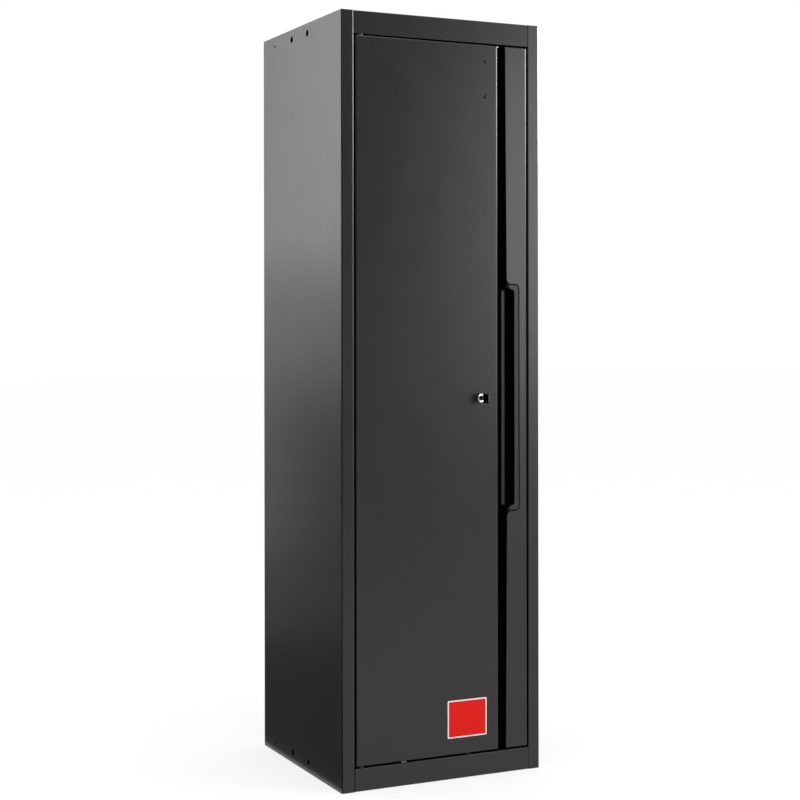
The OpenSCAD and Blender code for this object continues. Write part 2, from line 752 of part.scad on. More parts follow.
// Bright ring on the door face round the lock
module lock_ring() placed() color(chrome) translate([lock_x, 0, lock_h]) rotate([90, 0, 0])
    rotate_extrude($fn = 64)
        polygon([[plug_d / 2 + 0.6, 0], [ring_d / 2, 0], [ring_d / 2, ring_t * 0.4],
                 [ring_d / 2 - 1.6, ring_t], [plug_d / 2 + 1.6, ring_t], [plug_d / 2 + 0.6, ring_t * 0.6]]);

// Fixed barrel of the lock
module lock_barrel() placed() color(bright_zinc) translate([lock_x, 0, lock_h]) difference() {
    bar_y(barrel_d / 2, 0, barrel_end);
    bar_y(plug_d / 2 + running_fit, -1, barrel_end + 1);
}

// Six-sided nut that clamps the barrel and the lock case to the door
module lock_nut() placed() color(bright_zinc)
    translate([lock_x, sheet + case_wall + nut_t, lock_h]) rotate([90, 0, 0]) difference() {
        cylinder(r = barrel_d / 2 + 4, h = nut_t, $fn = 6);
        translate([0, 0, -1]) cylinder(d = barrel_d + 0.1, h = nut_t + 2, $fn = 48);
    }

// Pressed case of the lock works, open at the back under its cover, with a boss for each screw
module lock_case() placed() color(bright_zinc) difference() {
    union() {
        block([case_left, sheet, lock_h - case_half],
              [case_right, case_end - case_wall, lock_h + case_half]);
        case_screw_bars(boss_r, sheet, case_end - case_wall);
    }
    block([case_left + case_wall, sheet + case_wall, lock_h - case_half + case_wall],
          [case_right - case_wall, case_end + 1, lock_h + case_half - case_wall]);
    case_screw_bars(tapping_r, case_end - 10, case_end + 1);
    translate([lock_x, 0, lock_h]) bar_y(barrel_d / 2 + 0.1, 0, 6);
    translate([idler_x, 0, lock_h]) bar_y(idler_pin_r + seat_fit, 0, 6);
    rod_hole(rod_x_up, lock_h + case_half);
    rod_hole(rod_x_low, lock_h - case_half);
}

// Bars along the depth at the four screws of the case
module case_screw_bars(r, y0, y1) for (p = case_screw_places) translate([p[0], 0, p[1]]) bar_y(r, y0, y1);

module lock_case_cover() placed() color(bright_zinc) difference() {
    out = boss_out + boss_r;
    block([case_left - out, case_end - case_wall, lock_h - case_half],
          [case_right + out, case_end, lock_h + case_half]);
    translate([idler_x, 0, lock_h]) bar_y(idler_pin_r + seat_fit, case_end - case_wall - 1, case_end + 1);
    case_screw_bars(tapping_r, case_end - case_wall - 1, case_end + 1);
}

module lock_case_screws() placed() color(bright_zinc)
    for (p = case_screw_places) translate([p[0], case_end, p[1]]) screw_y(small_screw_r, 8, 3.2, 1.4);

// Fixed axle of the reversing pinion, riveted into the case and its cover
module idler_pin() placed() color(bright_zinc) translate([idler_x, 0, lock_h])
    bar_y(idler_pin_r, sheet, case_end);

// Blocks that keep the rods in line, with the rod's bore through them
module rod_guide(x, z) placed() color(white_nylon) difference() {
    block([x - guide_w / 2, sheet, z - guide_h / 2], [x + guide_w / 2, guide_t, z + guide_h / 2]);
    translate([x, rod_depth, z]) cylinder(r = rod_d / 2 + 0.3, h = guide_h + 2, center = true, $fn = 48);
    for (s = [-1, 1]) translate([x + s * guide_screw_x, 0, z])
        bar_y(guide_screw_r + 0.05, sheet - 1, guide_t + 1);
}

module upper_rod_guide() rod_guide(rod_x_up, guide_h_up);
module lower_rod_guide() rod_guide(rod_x_low, guide_h_low);

module rod_guide_screws() placed() color(bright_zinc)
    for (p = [[rod_x_up, guide_h_up], [rod_x_low, guide_h_low]], s = [-1, 1])
        translate([p[0] + s * guide_screw_x, guide_t, p[1]])
            screw_y(guide_screw_r, guide_t - sheet, 2.4, 1.4);

// Turning plug with its keyway and the shaft for the pinion
module lock_plug() placed() color(chrome) translate([lock_x, 0, lock_h]) difference() {
    union() {
        bar_y(plug_d / 2, -ring_t * 0.5, plug_end);
        bar_y(shaft_r, plug_end, gear_y1);
    }
    block([-key_slot_t / 2, -ring_t, -key_slot_h / 2], [key_slot_t / 2, plug_end - 1.5, key_slot_h / 2]);
    bar_y(1.3, plug_end + 1, gear_y1 + 1);
}

// Involute tooth flanks in polar form
function inv(a) = tan(a) - a * PI / 180;
function flank_angle(n, r) = let (rp = gear_module * n / 2, rb = rp * cos(pressure_angle),
                                  phi = r > rb ? acos(rb / r) : 0)
    180 / PI * ((rack_pitch / 2 - backlash) / 2 / rp + inv(pressure_angle) - inv(phi));
function polar(r, a) = [r * cos(a), r * sin(a)];
function gear_points(n) = let (rp = gear_module * n / 2, ra = rp + tooth_top, rf = rp - tooth_root,
                               r0 = max(rf + 0.01, rp * cos(pressure_angle)))
    [for (i = [0 : n - 1]) let (a = i * 360 / n) each concat(
        [polar(rf, a - flank_angle(n, r0))],
        [for (k = [0 : 4]) let (r = r0 + (ra - r0) * k / 4) polar(r, a - flank_angle(n, r))],
        [for (k = [4 : -1 : 0]) let (r = r0 + (ra - r0) * k / 4) polar(r, a + flank_angle(n, r))],
        [polar(rf, a + flank_angle(n, r0))])];

// Pinion in the layer of the racks
module pinion(n, bore_r) difference() {
    plate_y(gear_y0, gear_y1) polygon(gear_points(n));
    bar_y(bore_r, gear_y0 - 1, gear_y1 + 1);
}

module drive_pinion() placed() color(bright_zinc)
    translate([lock_x, 0, lock_h]) pinion(drive_teeth, shaft_r + seat_fit);

module pinion_screw() placed() color(bright_zinc) translate([lock_x, gear_y1, lock_h])
    screw_y(1.25, gear_y1 - plug_end - 1.5, shaft_r + 1.2, 1.6);

// Reversing pinion with a long hub on its fixed axle
module idler_pinion() placed() color(bright_zinc) translate([idler_x, 0, lock_h]) difference() {
    union() {
        pinion(idler_teeth, 1);
        bar_y(idler_r - tooth_root - 0.1, sheet + case_wall + 0.2, gear_y0 + 0.5);
        bar_y(idler_r - tooth_root - 0.1, gear_y1 - 0.5, case_end - case_wall - 0.2);
    }
    bar_y(idler_pin_r + running_fit, 0, case_end + 1);
}

// Rack teeth pointing to +X from the pitch line x = 0, with a gap at the height of the pinion's axis.
// Where an odd pinion has its own gap, the rack is shifted by half a tooth.
module rack_teeth(low, high) {
    half = rack_pitch / 4 - backlash / 2;
    slope = tan(pressure_angle);
    for (i = [low : high]) translate([0, (i + 0.5) * rack_pitch])
        polygon([[-tooth_root, -half - slope * tooth_root], [tooth_top, -half + slope * tooth_top],
                 [tooth_top, half - slope * tooth_top], [-tooth_root, half + slope * tooth_root]]);
}

// Round bar from the rack to the end of the door, with a chamfered tip
module rod_bar(z0, z1) {
    translate([0, rod_depth, z0]) cylinder(d = rod_d, h = z1 - z0 - rod_chamfer, $fn = 48);
    translate([0, rod_depth, z1 - rod_chamfer])
        cylinder(d1 = rod_d, d2 = rod_d - 2 * rod_chamfer, h = rod_chamfer, $fn = 48);
}

// Upper rod, with its rack on the far side of the reversing pinion
module upper_rod() placed() color(bright_zinc) translate([rod_x_up, 0, 0]) {
    plate_y(gear_y0, gear_y1) translate([0, lock_h]) {
        translate([0, idler_shift]) rack_teeth(-6, 1);
        translate([-tooth_root - rack_back_w, -6 * rack_pitch])
            square([rack_back_w + 0.01, foot_gap + foot_h + 6 * rack_pitch]);
        translate([-tooth_root - rack_back_w, foot_gap])
            square([tooth_root + rack_back_w + foot_side, foot_h]);
    }
    rod_bar(lock_h + foot_gap, door_top + rod_reach);
}

// Lower rod, whose rack bar is toothed on both sides between the two pinions
module lower_rod() placed() color(bright_zinc) translate([rod_x_low, 0, 0]) {
    bar_w = rack_line - rod_x_low;
    plate_y(gear_y0, gear_y1) translate([0, lock_h]) {
        mirror([1, 0]) rack_teeth(-2, 5);
        translate([bar_w, drive_shift]) rack_teeth(-2, 5);
        translate([tooth_root - 0.01, -foot_gap - foot_h])
            square([bar_w - 2 * tooth_root + 0.02, foot_gap + foot_h + 6 * rack_pitch]);
        translate([-foot_side, -foot_gap - foot_h]) square([bar_w / 2 + foot_side, foot_h]);
    }
    translate([0, 0, 2 * lock_h]) mirror([0, 0, 1])
        rod_bar(lock_h + foot_gap, 2 * lock_h - door_bottom + rod_reach);
}

// Flat steel key in the plug
module key_blade() placed() color(bright_zinc) translate([lock_x, 0, lock_h]) difference() {
    t = key_slot_t - 2 * key_fit;
    h = key_slot_h - 2 * key_fit;
    block([-t / 2, key_blade_start, -h / 2], [t / 2, plug_end - 3, h / 2]);
    // bitting along one edge
    for (k = [0 : 2]) translate([0, 1 + k * 2.6, h / 2]) rotate([0, 90, 0])
        cylinder(r = 0.9, h = 4, center = true, $fn = 24);
}

// Moulded black head of the key, rounded at its outer corners
module key_head() placed() color(black_plastic) translate([lock_x, 0, lock_h]) difference() {
    straight = key_head_h / 2 - key_corner_r;
    rotate([0, 90, 0]) linear_extrude(key_head_t, center = true) {
        translate([-key_head_h / 2, key_corner_r - key_reach])
            square([key_head_h, key_head_l - key_corner_r]);
        translate([-straight, -key_reach]) square([2 * straight, key_corner_r + 1]);
        for (x = [-straight, straight]) translate([x, key_corner_r - key_reach])
            circle(key_corner_r, $fn = 48);
    }
    t = key_slot_t - 2 * key_fit;
    h = key_slot_h - 2 * key_fit;
    block([-t / 2, key_blade_start, -h / 2], [t / 2, 0, h / 2]);
    // hole for a key ring
    translate([0, key_ring_place, 0]) rotate([0, 90, 0])
        cylinder(r = key_ring_hole_r, h = key_head_t + 2, center = true, $fn = 48);
}

left_side_panel();
right_side_panel();
top_panel();
bottom_panel();
back_panel();
upright_front_left();
upright_rear_left();
upright_front_right();
upright_rear_right();
shelf_1();
shelf_2();
shelf_3();
shelf_4();
shelf_clips();
upper_hinge_bracket();
lower_hinge_bracket();
upper_hinge_pin();
lower_hinge_pin();
upper_rod_keeper();
lower_rod_keeper();
door_stop_strip();
stop_buffers();
door_rest_pad();
door_panel();
door_stiffener();
upper_corner_plate();
lower_corner_plate();
upper_hinge_bush();
lower_hinge_bush();
upper_channel_liner();
lower_channel_liner();
grip_moulding();
grip_screws();
lock_ring();
lock_barrel();
lock_nut();
lock_case();
lock_case_cover();
lock_case_screws();
idler_pin();
upper_rod_guide();
lower_rod_guide();
rod_guide_screws();
lock_plug();
drive_pinion();
pinion_screw();
idler_pinion();
upper_rod();
lower_rod();
key_blade();
key_head();
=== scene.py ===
"""Finishes, detail pieces and studio for a tall single-door tool cabinet.

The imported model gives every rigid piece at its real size. This script dresses those pieces, adds
the badge on the door, and sets up the floor, the lamps and the camera.
"""

from __future__ import annotations

import json
import logging
import math
from dataclasses import asdict, dataclass, field
from enum import Enum
from typing import Any, Iterable

import bpy
import bmesh
from mathutils import Matrix, Vector


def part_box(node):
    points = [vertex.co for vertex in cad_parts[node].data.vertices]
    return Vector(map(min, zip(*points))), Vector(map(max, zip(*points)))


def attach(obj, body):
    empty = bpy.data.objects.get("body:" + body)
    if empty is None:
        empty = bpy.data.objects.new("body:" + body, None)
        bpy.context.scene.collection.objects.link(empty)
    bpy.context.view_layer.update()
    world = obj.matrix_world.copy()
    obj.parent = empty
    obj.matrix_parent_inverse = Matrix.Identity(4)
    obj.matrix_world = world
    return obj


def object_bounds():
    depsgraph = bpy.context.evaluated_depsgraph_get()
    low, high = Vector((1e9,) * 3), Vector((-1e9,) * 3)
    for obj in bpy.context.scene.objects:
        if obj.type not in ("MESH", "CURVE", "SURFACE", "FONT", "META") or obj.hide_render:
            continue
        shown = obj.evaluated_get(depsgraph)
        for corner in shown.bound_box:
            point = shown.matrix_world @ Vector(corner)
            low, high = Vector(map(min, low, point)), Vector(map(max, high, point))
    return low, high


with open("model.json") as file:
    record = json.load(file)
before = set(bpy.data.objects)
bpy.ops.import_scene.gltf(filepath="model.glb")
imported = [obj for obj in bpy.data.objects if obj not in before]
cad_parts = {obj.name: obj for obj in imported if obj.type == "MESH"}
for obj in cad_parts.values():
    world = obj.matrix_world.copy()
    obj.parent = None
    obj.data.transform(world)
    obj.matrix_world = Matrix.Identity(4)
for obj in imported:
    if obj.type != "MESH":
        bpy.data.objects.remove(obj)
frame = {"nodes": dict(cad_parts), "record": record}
cad_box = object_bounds()

log = logging.getLogger("cabinet")

MM = 0.001
# Distance between the slow waves of a folded sheet, in millimetres.
SHEET_WAVE_MM = 420.0
# Colour and shine of painted shade, where a surface lies in deep shade and gives back almost no light.
PAINTED_SHADE_BLACK = "#020202"
PAINTED_SHADE_SHINE = 0.02


# Colour and node helpers


def linear(hex_colour: str) -> tuple[float, float, float, float]:
    """Turns an sRGB hex colour into the linear colour that a shader takes.

    Args:
        hex_colour: Six hex digits with a leading hash, such as "#1a1a1b".

    Returns:
        Red, green, blue and an alpha of 1.
    """
    parts = [int(hex_colour[i : i + 2], 16) / 255 for i in (1, 3, 5)]
    red, green, blue = [c / 12.92 if c <= 0.04045 else ((c + 0.055) / 1.055) ** 2.4 for c in parts]
    return red, green, blue, 1.0


def per_metre(grain_mm: float) -> float:
    """Gives a noise texture's scale for a grain of that many millimetres."""
    return 1 / (grain_mm * MM)


def add_node(tree: bpy.types.NodeTree, kind: str, settings: dict[str, Any],
             inputs: dict[Any, Any]) -> bpy.types.Node:
    """Adds one node with its settings and links.

    Args:
        tree: The node tree that gets the node.
        kind: The node's type name.
        settings: The node's own properties.
        inputs: For each input, by name or number, its value or the output socket that feeds it.

    Returns:
        The new node.
    """
    node = tree.nodes.new(kind)
    for name, value in settings.items():
        setattr(node, name, value)
    for key, value in inputs.items():
        if isinstance(value, bpy.types.NodeSocket):
            tree.links.new(value, node.inputs[key])
        else:
            node.inputs[key].default_value = value
    return node


def new_material(name: str) -> tuple[bpy.types.Material, bpy.types.NodeTree]:
    """Makes an empty node material.

    Args:
        name: The material's name.

    Returns:
        The material and its node tree.
    """
    material = bpy.data.materials.new(name)
    material.use_nodes = True
    material.node_tree.nodes.clear()
    return material, material.node_tree


# Finishes


@dataclass(frozen=True)
class Finish:
    """One finish with a grain in its colour, its gloss and its relief.

    Args:
        name: What the material is and how its surface was made.
        dark: Colour in the grain's low places.
        light: Colour in its high places.
        metallic: 1 for bare metal.
        roughness: Lowest and highest roughness.
        ior: Refractive index of a finish that isn't metal.
        mottle_mm: Size of the slow changes of colour and gloss.
        grain_mm: Size of the relief's grain.
        relief_mm: Height of that relief.
        stretch: How much longer the grain is along the height than across it.
        wave_mm: Height of the slow waves of a flat sheet.
        shine: Strength of the surface's reflection, where 0.5 is that of its refractive index.
    """

    name: str
    dark: str
    light: str
    metallic: float = 0.0
    roughness: tuple[float, float] = (0.4, 0.5)
    ior: float = 1.5
    mottle_mm: float = 60.0
    grain_mm: float = 2.0
    relief_mm: float = 0.01
    stretch: float = 1.0
    wave_mm: float = 0.0
    shine: float = 0.5

    def build(self) -> bpy.types.Material:
        """Makes the node material.

        Returns:
            The material.
        """
        material, tree = new_material(self.name)
        place = add_node(tree, "ShaderNodeTexCoord", {}, {}).outputs["Object"]
        stretched = add_node(tree, "ShaderNodeMapping", {},
                             {"Vector": place, "Scale": (1, 1, 1 / self.stretch)})
        mottle = self.noise(tree, place, self.mottle_mm, 3)
        grain = self.noise(tree, stretched.outputs["Vector"], self.grain_mm, 2)
        colour = add_node(tree, "ShaderNodeMix", {"data_type": "RGBA"},
                          {"Factor": mottle, "A": linear(self.dark), "B": linear(self.light)})
        gloss = add_node(tree, "ShaderNodeMapRange", {},
                         {"Value": mottle, "From Min": 0.3, "From Max": 0.7,
                          "To Min": self.roughness[0], "To Max": self.roughness[1]})
        relief = add_node(tree, "ShaderNodeBump", {},
                          {"Height": grain, "Strength": 1.0, "Distance": self.relief_mm * MM})
        if self.wave_mm:
            wave = self.noise(tree, place, SHEET_WAVE_MM, 0)
            relief = add_node(tree, "ShaderNodeBump", {},
                              {"Height": wave, "Strength": 1.0, "Distance": self.wave_mm * MM,
                               "Normal": relief.outputs["Normal"]})
        surface: dict[Any, Any] = {"Base Color": colour.outputs["Result"], "Metallic": self.metallic,
                                   "Roughness": gloss.outputs["Result"], "Normal": relief.outputs["Normal"]}
        if not self.metallic:
            surface["IOR"] = self.ior
            surface["Specular IOR Level"] = self.shine
        self.place_changes(tree, place, surface)
        shader = add_node(tree, "ShaderNodeBsdfPrincipled", {}, surface)
        add_node(tree, "ShaderNodeOutputMaterial", {}, {"Surface": shader.outputs["BSDF"]})
        return material

    def place_changes(self, tree: bpy.types.NodeTree, place: bpy.types.NodeSocket,
                      surface: dict[Any, Any]) -> None:
        """Changes nothing: this finish is the same all over the piece."""

    @staticmethod
    def noise(tree: bpy.types.NodeTree, place: bpy.types.NodeSocket, size_mm: float,
              detail: float) -> bpy.types.NodeSocket:
        """Adds a noise of one real size.

        Args:
            tree: The material's node tree.
            place: The coordinates that the noise follows.
            size_mm: The size of its grains.
            detail: How many finer layers it has.

        Returns:
            The noise's value.
        """
        return add_node(tree, "ShaderNodeTexNoise", {"noise_dimensions": "3D"},
                        {"Vector": place, "Scale": per_metre(size_mm), "Detail": detail}).outputs["Fac"]


@dataclass(frozen=True)
class PaintedShadeFinish(Finish):
    """A moulded finish with painted shade: darker and duller in the deep places of a pocket.

    Args:
        deep_y: Where the painted shade starts, as the depth coordinate in metres.
        fade: Length over which it sets in.
        rib: Sideways coordinates of a rib's bright and dark edge, between which shade is painted across it.
            The wall before it gets the painted shade too.
        rib_shade: How dark the painted shade is at the rib's two edges, where 1 is the pocket's black.
        past_rib: How far past its dark edge the rib's shade ends.
        before_rib: How far before its bright edge the wall starts.
        seam: Width of the line of painted shade along the piece's edges, in metres.
        seam_turn: Cosine of the rounded edge's turn where that line sets in, and where it is black.
    """

    deep_y: float = 0.0
    fade: float = 2.0 * MM
    rib: tuple[float, float] | None = None
    rib_shade: tuple[float, float] = (0.15, 0.9)
    past_rib: float = 3.0 * MM
    before_rib: float = 1.0 * MM
    seam: float = 0.0
    seam_turn: tuple[float, float] = (0.99, 0.93)

    def place_changes(self, tree: bpy.types.NodeTree, place: bpy.types.NodeSocket,
                      surface: dict[Any, Any]) -> None:
        """Paints shade: lowers colour and shine where the piece is deep, across the rib and along the
        edges.

        Args:
            tree: The material's node tree.
            place: The piece's coordinates.
            surface: The shader's inputs, which are changed.
        """
        parts = add_node(tree, "ShaderNodeSeparateXYZ", {}, {"Vector": place}).outputs
        span = {"Value": parts["Y"], "From Min": self.deep_y - self.fade, "From Max": self.deep_y}
        deep = add_node(tree, "ShaderNodeMapRange", {}, span).outputs["Result"]
        for shade in self.rib_shades(tree, parts["X"]) + self.seam_shades(tree):
            deep = add_node(tree, "ShaderNodeMath", {"operation": "MAXIMUM"},
                            {0: deep, 1: shade}).outputs[0]
        # Painted shade: the colour goes to black and the shine drops where the piece is deep.
        surface["Base Color"] = add_node(tree, "ShaderNodeMix", {"data_type": "RGBA"},
                                         {"Factor": deep, "A": surface["Base Color"],
                                          "B": linear(PAINTED_SHADE_BLACK)}).outputs["Result"]
        surface["Specular IOR Level"] = add_node(tree, "ShaderNodeMapRange", {},
                                                 {"Value": deep, "To Min": self.shine,
                                                  "To Max": PAINTED_SHADE_SHINE}).outputs["Result"]

    def rib_shades(self, tree: bpy.types.NodeTree,
                   across: bpy.types.NodeSocket) -> list[bpy.types.NodeSocket]:
        """Paints shade across a rib from its bright edge to its dark one, and on the wall before it.

        Args:
            tree: The material's node tree.
            across: The sideways coordinate.

        Returns:
            The two shades, or none for a piece without a rib.
        """
        if not self.rib:
            return []
        bright, dark = self.rib
        ramp = {"Value": across, "From Min": bright, "From Max": dark,
                "To Min": self.rib_shade[0], "To Max": self.rib_shade[1]}
        side = add_node(tree, "ShaderNodeMapRange", {}, ramp).outputs["Result"]
        on_rib = add_node(tree, "ShaderNodeMath", {"operation": "LESS_THAN"},
                          {0: across, 1: dark + self.past_rib})
        shade = add_node(tree, "ShaderNodeMath", {"operation": "MULTIPLY"}, {0: side, 1: on_rib.outputs[0]})
        wall = add_node(tree, "ShaderNodeMath", {"operation": "LESS_THAN"},
                        {0: across, 1: bright - self.before_rib})
        return [shade.outputs[0], wall.outputs[0]]

    def seam_shades(self, tree: bpy.types.NodeTree) -> list[bpy.types.NodeSocket]:
        """Paints a line of shade along the piece's edges, where rounding them would turn the surface.

        Args:
            tree: The material's node tree.

        Returns:
            The shade, or none for a piece without such a line.
        """
        if not self.seam:
            return []
        rounded = add_node(tree, "ShaderNodeBevel", {"samples": 8}, {"Radius": self.seam})
        normal = add_node(tree, "ShaderNodeNewGeometry", {}, {}).outputs["Normal"]
        flat = add_node(tree, "ShaderNodeVectorMath", {"operation": "DOT_PRODUCT"},
                        {0: rounded.outputs["Normal"], 1: normal}).outputs["Value"]
        edge = add_node(tree, "ShaderNodeMapRange", {},
                        {"Value": flat, "From Min": self.seam_turn[0], "From Max": self.seam_turn[1]})
        return [edge.outputs["Result"]]


@dataclass(frozen=True)
class SheetFinish(Finish):
    """A coat on sheet steel that leans a little in one part and rolls off towards its folds.

    Args:
        lean_from: Where the leaning part starts, as the sideways coordinate in metres.
        lean: How much it falls back for each metre.
        axis: The coordinate along which the face rolls off, "X" across or "Z" up.
        folds: That coordinate at each fold that the face rolls into, and how far before it, on the
            low side where that is positive, the face starts to roll off.
        roll: How far the face has fallen back at a fold, for each metre of the roll-off.
    """

    lean_from: float = 0.0
    lean: float = 0.0
    axis: str = "X"
    folds: tuple[tuple[float, float], ...] = ()
    roll: float = 0.5

    def place_changes(self, tree: bpy.types.NodeTree, place: bpy.types.NodeSocket,
                      surface: dict[Any, Any]) -> None:
        """Turns the surface where the sheet leans or rolls off.

        Args:
            tree: The material's node tree.
            place: The piece's coordinates.
            surface: The shader's inputs, which are changed.
        """
        parts = add_node(tree, "ShaderNodeSeparateXYZ", {}, {"Vector": place}).outputs
        past = add_node(tree, "ShaderNodeMath", {"operation": "SUBTRACT"},
                        {0: parts["X"], 1: self.lean_from})
        kept = add_node(tree, "ShaderNodeMath", {"operation": "MAXIMUM"}, {0: past.outputs[0], 1: 0.0})
        fall = add_node(tree, "ShaderNodeMath", {"operation": "MULTIPLY"},
                        {0: kept.outputs[0], 1: -self.lean}).outputs[0]
        for fold, wide in self.folds:
            near = add_node(tree, "ShaderNodeMapRange", {},
                            {"Value": parts[self.axis], "From Min": fold - wide,
                             "From Max": fold}).outputs["Result"]
            curve = add_node(tree, "ShaderNodeMath", {"operation": "POWER"}, {0: near, 1: 2.0}).outputs[0]
            fall = add_node(tree, "ShaderNodeMath", {"operation": "MULTIPLY_ADD"},
                            {0: curve, 1: -self.roll * abs(wide), 2: fall}).outputs[0]
        bump = {"Height": fall, "Strength": 1.0, "Distance": 1.0, "Normal": surface["Normal"]}
        surface["Normal"] = add_node(tree, "ShaderNodeBump", {}, bump).outputs["Normal"]


def varied(kind: type[Finish], base: Finish, name: str, **changes: Any) -> Finish:
    """Makes a finish out of a base one.

    Args:
        kind: The class of the new finish.
        base: The finish whose values it starts from.
        name: The new finish's name.
        **changes: The values that differ, or that only the new kind has.

    Returns:
        The new finish.
    """
    return kind(**{**asdict(base), "name": name, **changes})


class Slot(Enum):
    """The record's material slots, each with its finish."""

    # Black polyester powder coat on sheet steel: a deep black with a satin gloss, a faint orange
    # peel and the slow waves of folded sheet. The peel is drawn coarser than its real 0.5 mm.
    BLACK_PAINT = ("black_paint", Finish("powder_coated_steel", "#0f0f10", "#141415",
                                         roughness=(0.29, 0.31), ior=1.5, mottle_mm=90, grain_mm=1.6,
                                         relief_mm=0.006, wave_mm=0.1))
    # Black polypropylene, injection moulded in a lightly eroded mould: duller than the paint.
    BLACK_PLASTIC = ("black_plastic", Finish("moulded_polypropylene", "#0e0e0f", "#141415",
                                             roughness=(0.38, 0.46), ior=1.49, mottle_mm=25, grain_mm=0.9,
                                             relief_mm=0.02))
    # Zinc plating over rolled or turned steel: a cool grey with a fine drawn grain.
    ZINC = ("zinc", Finish("zinc_plated_steel", "#9b9da0", "#c3c5c8", metallic=1.0,
                           roughness=(0.28, 0.42), mottle_mm=14, grain_mm=0.5, relief_mm=0.01, stretch=12))
    # Polished chrome over turned brass: nearly a mirror, with faint polishing marks.
    CHROME = ("chrome", Finish("polished_chrome", "#d9dbdd", "#e6e8ea", metallic=1.0,
                               roughness=(0.07, 0.14), mottle_mm=4, grain_mm=0.4, relief_mm=0.002))
    # Natural nylon, moulded: an off-white with a soft gloss.
    NYLON = ("nylon", Finish("moulded_nylon", "#d6d2c6", "#e6e3d9", roughness=(0.4, 0.5), ior=1.53,
                             mottle_mm=8, grain_mm=0.8, relief_mm=0.01))
    # Black nitrile rubber, moulded: matte, with a little bloom.
    RUBBER = ("rubber", Finish("moulded_rubber", "#161616", "#232322", roughness=(0.7, 0.85), ior=1.52,
                               mottle_mm=5, grain_mm=0.6, relief_mm=0.03))

    def __init__(self, slot_name: str, finish: Finish) -> None:
        """Keeps the slot's name in the record beside its finish."""
        self.slot_name = slot_name
        self.finish = finish


PAINT = Slot.BLACK_PAINT.finish
PLASTIC = Slot.BLACK_PLASTIC.finish
# The channel's black liner, painted down to a dead black without any gloss: painted shade deep in the
# channel.
CHANNEL_SHADE_BLACK = Finish("channel_liner_painted_shade", PAINTED_SHADE_BLACK, "#040404", roughness=(0.9, 1.0), ior=1.5, mottle_mm=6,
               grain_mm=0.5, relief_mm=0.05, shine=PAINTED_SHADE_SHINE)

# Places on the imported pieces, in metres.
BODY_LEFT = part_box("left_side_panel")[0].x
HINGE_STILE_RIGHT = BODY_LEFT + 36.5 * MM
RAIL_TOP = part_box("bottom_panel")[1].z
DOOR_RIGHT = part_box("door_panel")[1].x
CHANNEL_LEFT = DOOR_RIGHT - 88.5 * MM
GRIP_RIB = (DOOR_RIGHT - 74 * MM, DOOR_RIGHT - 56 * MM)
POCKET_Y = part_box("door_panel")[0].y + 12 * MM
# End of the painted highlight along the key grip's front end.
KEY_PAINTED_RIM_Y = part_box("key_head")[0].y + 2.4 * MM


class Palette:
    """Builds each finish once and hands it out."""

    def __init__(self) -> None:
        """Starts with no finish built."""
        self._made: dict[str, bpy.types.Material] = {}

    def of(self, finish: Finish) -> bpy.types.Material:
        """Returns the finish's material, building it the first time."""
        if finish.name not in self._made:
            self._made[finish.name] = finish.build()
        return self._made[finish.name]

    def dress(self, obj: bpy.types.Object, finish: Finish) -> None:
        """Puts a finish on every material slot of an object.

        Args:
            obj: The object.
            finish: Its finish.
        """
        material = self.of(finish)
        if not obj.material_slots:
            obj.data.materials.append(material)
        for slot in obj.material_slots:
            slot.material = material


# Sub-assemblies


@dataclass
class SubAssembly:
    """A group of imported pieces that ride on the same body.

    Args:
        title: What the group is called in the log.
        nodes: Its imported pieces.
        special: Pieces with a finish of their own.
    """

    title: str
    nodes: tuple[str, ...]
    special: dict[str, Finish] = field(default_factory=dict)

    def build(self) -> None:
        """Adds no piece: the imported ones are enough."""

    def dress(self, palette: Palette) -> None:
        """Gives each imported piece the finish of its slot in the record.

        Args:
            palette: The finishes.
        """
        slots = {part["node"]: part["material_slot"] for part in frame["record"]["subparts"]}
        finishes = {slot.slot_name: slot.finish for slot in Slot}
        for name in self.nodes:
            finish = self.special.get(name, finishes[slots[name]])
            palette.dress(frame["nodes"][name], finish)
            log.info("%s: %s in %s", self.title, name, finish.name)


@dataclass
class Carcass(SubAssembly):
    """The folded body with its hinge pins, rod keepers and stops."""

    title: str = "carcass"
    nodes: tuple[str, ...] = (
        "left_side_panel", "right_side_panel", "top_panel", "bottom_panel", "back_panel",
        "upper_hinge_bracket", "lower_hinge_bracket", "upper_hinge_pin", "lower_hinge_pin",
        "upper_rod_keeper", "lower_rod_keeper", "door_stop_strip", "stop_buffers", "door_rest_pad",
    )
    # The stile on the lock side leans by two degrees, so it reflects another part of the studio.
    # Faces roll off softly into their folds, and those edges catch the light. The rest pad is an
    # off-white nylon, painted grey here as painted shade of the gap it lies in.
    special: dict[str, Finish] = field(default_factory=lambda: {
        "left_side_panel": varied(SheetFinish, PAINT, "powder_coated_hinge_stile",
                                  folds=((HINGE_STILE_RIGHT, 5 * MM), (BODY_LEFT, -4 * MM))),
        "right_side_panel": varied(SheetFinish, PAINT, "powder_coated_lock_stile",
                                   lean_from=0.2, lean=0.035),
        "bottom_panel": varied(SheetFinish, PAINT, "powder_coated_rail",
                               axis="Z", folds=((RAIL_TOP, 3 * MM),), roll=0.8),
        "door_rest_pad": Finish("nylon_pad_painted_shade", "#7c7b78", "#8b8a86", roughness=(0.4, 0.5), ior=1.53,
                                mottle_mm=8, grain_mm=0.8, relief_mm=0.01)})


@dataclass
class Shelving(SubAssembly):
    """The slotted uprights, the shelves and the clips that carry them."""

    title: str = "shelving"
    nodes: tuple[str, ...] = (
        "upright_front_left", "upright_rear_left", "upright_front_right", "upright_rear_right",
        "shelf_1", "shelf_2", "shelf_3", "shelf_4", "shelf_clips",
    )


